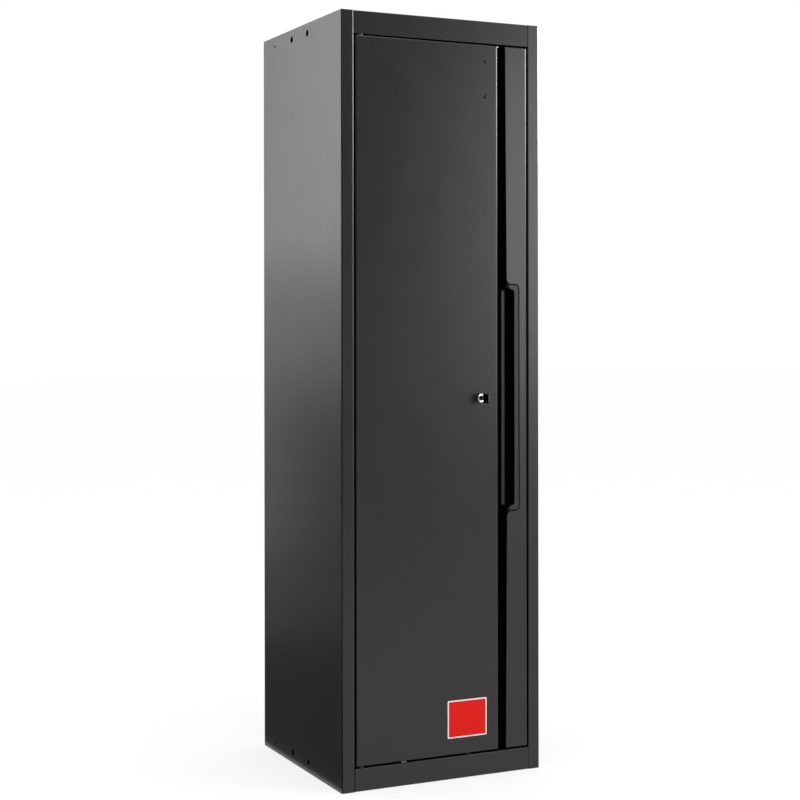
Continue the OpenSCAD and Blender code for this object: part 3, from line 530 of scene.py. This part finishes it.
@dataclass
class Badge:
    """A plain foil badge: a white carrier with one coloured field, and nothing on it.

    Args:
        width: Width of the carrier, in metres.
        height: Height of the carrier.
        border: Width of the white border.
        corner: Radius of the carrier's corners.
        thickness: Thickness of each of the two foils.
        inner_corner: Least radius of the coloured field's corners.
        corner_steps: Straight pieces in each corner.
        white: The carrier's finish.
        red: The field's finish.
    """

    width: float = 116 * MM
    height: float = 99 * MM
    border: float = 3.3 * MM
    corner: float = 3.0 * MM
    thickness: float = 0.12 * MM
    inner_corner: float = 0.6 * MM
    corner_steps: int = 8
    # Screen printed vinyl foil: an even film, duller than the paint, with only a faint print grain.
    white: Finish = Finish("printed_vinyl_white", "#f6f6f5", "#fdfdfc", roughness=(0.4, 0.45), ior=1.46,
                           mottle_mm=20, grain_mm=1.2, relief_mm=0.002, shine=0.2)
    red: Finish = Finish("printed_vinyl_red", "#e2180f", "#ea1d13", roughness=(0.4, 0.45), ior=1.46,
                         mottle_mm=20, grain_mm=1.2, relief_mm=0.002, shine=0.2)

    def build(self, centre: Vector, palette: Palette) -> None:
        """Lays the carrier on the door and the coloured field on the carrier.

        Args:
            centre: The middle of the badge on the door's face.
            palette: The finishes.
        """
        layers = (("badge_carrier", self.white, 0.0), ("badge_field", self.red, self.border))
        for level, (name, finish, inset) in enumerate(layers):
            foil = self.foil(name, inset, centre + Vector((0, -level * self.thickness, 0)))
            palette.dress(foil, finish)
            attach(foil, "door")
            log.info("badge: %s in %s", name, finish.name)

    def foil(self, name: str, inset: float, centre: Vector) -> bpy.types.Object:
        """Makes one rounded foil that faces the front.

        Args:
            name: The object's name.
            inset: How far its edge lies inside the carrier's.
            centre: The middle of its rear face.

        Returns:
            The foil.
        """
        half_w, half_h = self.width / 2 - inset, self.height / 2 - inset
        radius = max(self.corner - inset, self.inner_corner)
        mesh = bmesh.new()
        rim = []
        for quarter, (sx, sz) in enumerate(((1, 1), (-1, 1), (-1, -1), (1, -1))):
            for step in range(self.corner_steps + 1):
                angle = math.radians(90 * quarter + 90 * step / self.corner_steps)
                x = centre.x + sx * (half_w - radius) + radius * math.cos(angle)
                z = centre.z + sz * (half_h - radius) + radius * math.sin(angle)
                rim.append(mesh.verts.new((x, centre.y, z)))
        face = mesh.faces.new(rim)
        raised = bmesh.ops.extrude_face_region(mesh, geom=[face])["geom"]
        bmesh.ops.translate(mesh, vec=(0, -self.thickness, 0),
                            verts=[v for v in raised if isinstance(v, bmesh.types.BMVert)])
        bmesh.ops.recalc_face_normals(mesh, faces=mesh.faces)
        data = bpy.data.meshes.new(name)
        mesh.to_mesh(data)
        mesh.free()
        foil = bpy.data.objects.new(name, data)
        bpy.context.scene.collection.objects.link(foil)
        return foil


@dataclass
class Door(SubAssembly):
    """The folded door with its channel, grip and badge.

    Args:
        badge_right: Distance of the badge's middle from the cabinet's middle.
        badge_up: Height of the badge's middle above the floor.
        badge: The badge.
    """

    title: str = "door"
    nodes: tuple[str, ...] = (
        "door_panel", "door_stiffener", "upper_corner_plate", "lower_corner_plate",
        "upper_hinge_bush", "lower_hinge_bush", "upper_channel_liner", "lower_channel_liner",
        "grip_moulding", "grip_screws",
    )
    badge_right: float = 71 * MM
    badge_up: float = 156.5 * MM
    badge: Badge = field(default_factory=Badge)
    # The strip beside the channel leans like the stile next to it. The channel's black liner is painted
    # down to a dead black as painted shade. The grip's pocket is painted a dead black behind its rib and
    # its arm, and the rib darker towards the pocket, as painted shade, and a line of painted shade runs
    # round the grip as the shadow in its joint.
    special: dict[str, Finish] = field(default_factory=lambda: {
        "door_panel": varied(SheetFinish, PAINT, "powder_coated_door", lean_from=0.19, lean=0.035,
                             folds=((CHANNEL_LEFT, 5 * MM), (DOOR_RIGHT, 5 * MM))),
        "upper_channel_liner": CHANNEL_SHADE_BLACK, "lower_channel_liner": CHANNEL_SHADE_BLACK,
        "grip_moulding": varied(PaintedShadeFinish, PLASTIC, "moulded_grip_painted_shade", deep_y=POCKET_Y,
                                rib=GRIP_RIB, seam=4.5 * MM)})

    def dress(self, palette: Palette) -> None:
        """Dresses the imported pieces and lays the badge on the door's face.

        Args:
            palette: The finishes.
        """
        super().dress(palette)
        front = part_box("door_panel")[0].y
        self.badge.build(Vector((self.badge_right, front, self.badge_up)), palette)


@dataclass
class Lock(SubAssembly):
    """The rack and pinion lock with its rods, guides and key."""

    title: str = "lock"
    nodes: tuple[str, ...] = (
        "lock_ring", "lock_barrel", "lock_nut", "lock_case", "lock_case_cover", "lock_case_screws",
        "idler_pin", "upper_rod_guide", "lower_rod_guide", "rod_guide_screws", "lock_plug",
        "drive_pinion", "pinion_screw", "idler_pinion", "upper_rod", "lower_rod", "key_blade", "key_head",
    )
    # The plug is painted dark as the painted shade of the key head in front of it, and only the ring
    # round it shines. The key's grip has a painted highlight, a lighter grey along its front end, and the
    # rest of it is painted a dead black without gloss as painted shade.
    special: dict[str, Finish] = field(default_factory=lambda: {
        "lock_ring": Finish("satin_chrome", "#dfe1e3", "#eceef0", metallic=1.0, roughness=(0.3, 0.36),
                            mottle_mm=4, grain_mm=0.4, relief_mm=0.002),
        "lock_plug": Finish("plug_painted_shade", "#1c1c1e", "#2c2c2f", metallic=1.0, roughness=(0.3, 0.4),
                            mottle_mm=5, grain_mm=0.4, relief_mm=0.004),
        "key_head": varied(PaintedShadeFinish, PLASTIC, "key_grip_painted_highlight_and_shade", dark="#29292a", light="#3c3c3e",
                           deep_y=KEY_PAINTED_RIM_Y, fade=1.2 * MM)})


# Studio


def level_sheet(name: str, low: tuple[float, float], high: tuple[float, float], z: float,
                material: bpy.types.Material) -> bpy.types.Mesh:
    """Makes a level rectangle.

    Args:
        name: The mesh's name.
        low: Its lowest x and y.
        high: Its highest x and y.
        z: Its height.
        material: Its material.

    Returns:
        The mesh.
    """
    data = bpy.data.meshes.new(name)
    (x0, y0), (x1, y1) = low, high
    data.from_pydata([(x0, y0, z), (x1, y0, z), (x1, y1, z), (x0, y1, z)], [], [(0, 1, 2, 3)])
    data.materials.append(material)
    return data


def set_down(name: str, data: bpy.types.ID) -> bpy.types.Object:
    """Puts an object of some data into the scene.

    Args:
        name: The object's name.
        data: Its mesh, lamp or camera.

    Returns:
        The object.
    """
    obj = bpy.data.objects.new(name, data)
    bpy.context.scene.collection.objects.link(obj)
    return obj


@dataclass(frozen=True)
class Panel:
    """A rectangle of the studio that faces a point.

    Args:
        name: Its name.
        centre: Where it stands, in metres.
        aim: The point it faces.
        size: Its width and height.
        brightness: Its radiance, where 1 is white.
    """

    name: str
    centre: tuple[float, float, float]
    aim: tuple[float, float, float]
    size: tuple[float, float]
    brightness: float

    def hang(self, data: bpy.types.ID) -> bpy.types.Object:
        """Hangs some data at the panel's place and turns it to its aim.

        Args:
            data: The lamp, or the card's mesh.

        Returns:
            The object.
        """
        obj = set_down(self.name, data)
        obj.location = self.centre
        towards = Vector(self.aim) - Vector(self.centre)
        obj.rotation_euler = towards.to_track_quat("-Z", "Y").to_euler()
        return obj


@dataclass(frozen=True)
class Softbox(Panel):
    """A soft rectangular lamp."""

    def build(self) -> None:
        """Hangs the lamp in the scene."""
        lamp = bpy.data.lights.new(self.name, "AREA")
        lamp.shape = "RECTANGLE"
        lamp.size, lamp.size_y = self.size
        lamp.energy = self.brightness * math.pi * self.size[0] * self.size[1]
        self.hang(lamp).visible_camera = False


@dataclass(frozen=True)
class Card(Panel):
    """A card that only shows in reflections, as a photographer sets one up."""

    def build(self) -> None:
        """Sets up the card."""
        material, tree = new_material(self.name)
        glow = add_node(tree, "ShaderNodeEmission", {},
                        {"Color": (1, 1, 1, 1), "Strength": self.brightness})
        add_node(tree, "ShaderNodeOutputMaterial", {}, {"Surface": glow.outputs["Emission"]})
        half_w, half_h = self.size[0] / 2, self.size[1] / 2
        card = self.hang(level_sheet(self.name, (-half_w, -half_h), (half_w, half_h), 0.0, material))
        for ray in ("camera", "diffuse", "transmission", "volume_scatter", "shadow"):
            setattr(card, f"visible_{ray}", False)


@dataclass
class Studio:
    """Floor, background, lamps and camera.

    Args:
        floor_half: Half the floor's side, in metres.
        floor_z: The floor's height, just under the cabinet's feet.
        shade_z: The height of the sheet of painted shadow beneath the cabinet.
        shade_inset: How far that sheet lies inside the cabinet's outline.
        world_level: Brightness of the surroundings as a light.
        floor_glow: How much of the floor's white is its own, and stays in a shadow.
        camera_place: The camera's place.
        camera_yaw: How far it looks to the right of straight ahead, in radians.
        camera_roll: How far it is rolled, in radians.
        lens_mm: Its focal length on a 36 mm wide frame.
        shift_y: Upward shift of the frame, as a share of its width.
        lamps: The lamps.
        cards: The cards. Each black one keeps a lamp or the white surround out of a reflection.
    """

    floor_half: float = 30.0
    floor_z: float = -0.6 * MM
    shade_z: float = -0.3 * MM
    shade_inset: float = 4 * MM
    world_level: float = 1.1
    floor_glow: float = 0.7
    camera_place: tuple[float, float, float] = (-1.9754, -4.1113, 1.1955)
    camera_yaw: float = 0.44739
    camera_roll: float = -0.0015
    lens_mm: float = 74.358
    shift_y: float = -0.09436
    lamps: tuple[Softbox, ...] = (
        Softbox("softbox_left", (-2.46, 3.22, 2.45), (-0.29, 0.0, 2.45), (1.94, 1.9), 2.0),
        Softbox("softbox_right", (2.79, -2.95, 1.75), (0.0, -0.25, 1.75), (1.94, 1.7), 3.6),
        Softbox("softbox_top", (0.2, -1.2, 4.6), (0.0, 0.0, 1.0), (3.0, 3.0), 1.8),
    )
    cards: tuple[Card, ...] = (
        Card("grey_rear", (-0.97, 3.88, 2.6), (-0.29, 0.0, 2.6), (1.39, 1.6), 0.5),
        Card("black_rear_low", (-2.46, 3.22, 0.45), (-0.29, 0.0, 0.45), (1.94, 0.9), 0.02),
        Card("black_left", (-3.82, 0.69, 1.7), (-0.29, 0.0, 1.7), (4.33, 3.4), 0.02),
        Card("black_front_left", (-2.37, -4.19, 1.7), (0.0, -0.25, 1.7), (7.45, 3.4), 0.02),
        Card("grey_front_low", (1.34, -3.93, 0.65), (0.0, -0.25, 0.65), (1.66, 1.3), 0.55),
        Card("black_front_high", (1.34, -3.93, 2.35), (0.0, -0.25, 2.35), (1.66, 2.1), 0.02),
        Card("white_right_high", (3.73, 0.44, 2.8), (0.2, -0.25, 2.8), (5.83, 1.4), 20.0),
        Card("black_flag_top", (0.34, 0.345, 2.36), (0.0, 0.345, 2.36), (1.21, 0.7), 0.02),
        Card("white_overhead", (0.0, -1.4, 4.4), (0.0, -0.25, 0.06), (2.4, 2.4), 5.0),
        Card("black_floor_left", (-2.65, 0.15, 0.002), (-2.65, 0.15, 1.0), (4.7, 3.3), 0.12),
        Card("black_floor_far", (-3.7, 3.4, 0.002), (-3.7, 3.4, 1.0), (2.6, 3.2), 0.02),
        Card("grey_floor_rear", (-1.35, 2.9, 0.002), (-1.35, 2.9, 1.0), (2.1, 2.2), 0.3),
    )

    def build(self) -> None:
        """Sets up the whole studio."""
        self.world()
        self.floor()
        for lamp in self.lamps:
            lamp.build()
            log.info("studio: %s", lamp.name)
        for card in self.cards:
            card.build()
            log.info("studio: %s", card.name)
        self.camera()

    @staticmethod
    def seen_directly(tree: bpy.types.NodeTree) -> bpy.types.NodeSocket:
        """Adds a switch that is 1 for rays that show the background.

        Args:
            tree: The node tree.

        Returns:
            1 for a ray from the camera, a mirror or a glass, else 0.
        """
        path = add_node(tree, "ShaderNodeLightPath", {}, {})
        total = path.outputs["Is Camera Ray"]
        for other in ("Is Glossy Ray", "Is Transmission Ray"):
            total = add_node(tree, "ShaderNodeMath", {"operation": "MAXIMUM"},
                             {0: total, 1: path.outputs[other]}).outputs[0]
        return total

    def world(self) -> None:
        """Makes a plain grey surround that shows as white behind the object."""
        world = bpy.data.worlds.new("studio_surround")
        world.use_nodes = True
        tree = world.node_tree
        tree.nodes.clear()
        level = add_node(tree, "ShaderNodeMapRange", {},
                         {"Value": self.seen_directly(tree), "To Min": self.world_level, "To Max": 1.0})
        back = add_node(tree, "ShaderNodeBackground", {},
                        {"Color": (1, 1, 1, 1), "Strength": level.outputs["Result"]})
        add_node(tree, "ShaderNodeOutputWorld", {}, {"Surface": back.outputs["Background"]})
        bpy.context.scene.world = world

    def floor(self) -> None:
        """Lays a floor that shows white and keeps the object's shadow."""
        material, tree = new_material("white_studio_floor")
        paint = add_node(tree, "ShaderNodeBsdfDiffuse", {}, {"Color": linear("#8c8c8c")})
        level = add_node(tree, "ShaderNodeMath", {"operation": "MULTIPLY"},
                         {0: self.seen_directly(tree), 1: self.floor_glow})
        glow = add_node(tree, "ShaderNodeEmission", {},
                        {"Color": (1, 1, 1, 1), "Strength": level.outputs[0]})
        both = add_node(tree, "ShaderNodeAddShader", {},
                        {0: paint.outputs["BSDF"], 1: glow.outputs["Emission"]})
        add_node(tree, "ShaderNodeOutputMaterial", {}, {"Surface": both.outputs["Shader"]})
        half = self.floor_half
        set_down("studio_floor", level_sheet("studio_floor", (-half, -half), (half, half),
                                                      self.floor_z, material))
        self.shade()

    def shade(self) -> None:
        """Lays a dark sheet of painted shadow on the floor beneath the cabinet, where its white glow is cut
        off.
        """
        low, high = cad_box
        front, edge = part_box("left_side_panel")[0].y, self.shade_inset
        material, tree = new_material("shaded_floor")
        paint = add_node(tree, "ShaderNodeBsdfDiffuse", {}, {"Color": linear("#4a4a4a")})
        add_node(tree, "ShaderNodeOutputMaterial", {}, {"Surface": paint.outputs["BSDF"]})
        sheet = level_sheet("shade_beneath", (low.x + edge, front + edge), (high.x - edge, high.y - edge),
                            self.shade_z, material)
        set_down("shade_beneath", sheet)

    def camera(self) -> None:
        """Sets the camera at the photograph's viewing angle."""
        data = bpy.data.cameras.new("studio_camera")
        data.sensor_width = 36
        data.lens = self.lens_mm
        data.shift_y = self.shift_y
        camera = set_down("studio_camera", data)
        turn = (Matrix.Rotation(-self.camera_yaw, 4, "Z") @ Matrix.Rotation(math.pi / 2, 4, "X")
                @ Matrix.Rotation(self.camera_roll, 4, "Z"))
        camera.matrix_world = Matrix.Translation(self.camera_place) @ turn
        bpy.context.scene.camera = camera


def main() -> None:
    """Builds and dresses the sub-assemblies, then sets up the studio."""
    logging.basicConfig(level=logging.INFO, format="%(message)s")
    bpy.context.scene.view_settings.view_transform = "Standard"
    palette = Palette()
    for part in (Carcass(), Shelving(), Door(), Lock()):
        part.build()
        part.dress(palette)
    Studio().build()


if __name__ == "__main__":
    main()
